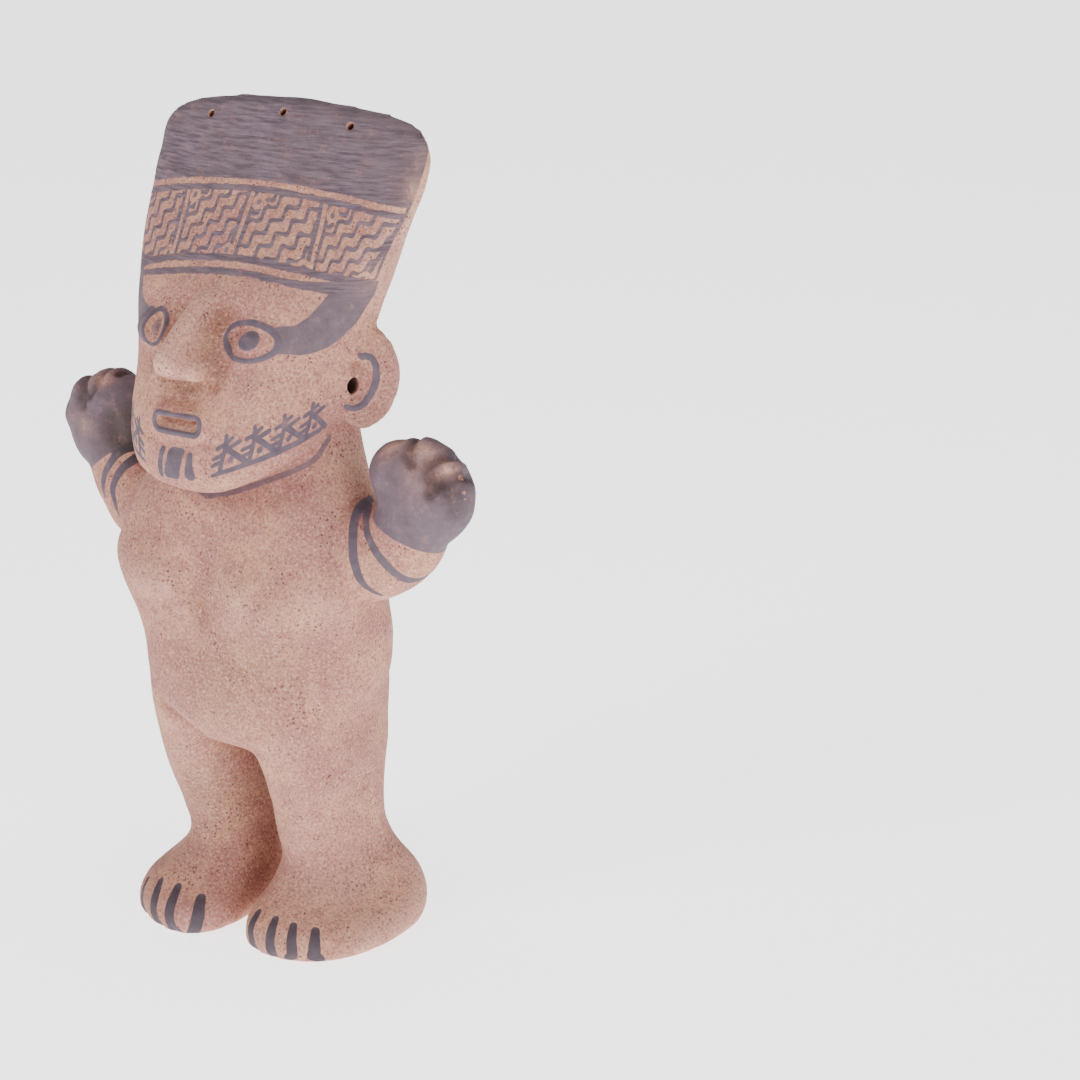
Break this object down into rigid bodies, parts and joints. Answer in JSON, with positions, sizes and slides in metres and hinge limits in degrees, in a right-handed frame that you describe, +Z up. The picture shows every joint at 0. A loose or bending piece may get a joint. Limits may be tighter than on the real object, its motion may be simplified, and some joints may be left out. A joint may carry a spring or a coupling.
{
  "type": "standing ceramic figure",
  "caption": "Standing clay figure with a flat fan-shaped headdress, raised short arms with fists, thick legs and wide flat feet, painted in dark slip.",
  "frame": {"origin": "on the floor, under the middle of the figure's box", "axes": "+Z up from the soles to the top of the headdress, +X towards the figure's left hand, and the figure faces -Y"},
  "size_m": [0.2428, 0.1146, 0.4],
  "materials": {
    "fired_clay": "matte unglazed fired clay with dark slip painting"
  },
  "bodies": {
    "root": {"figure": "fired_clay"}
  },
  "joints": []
}
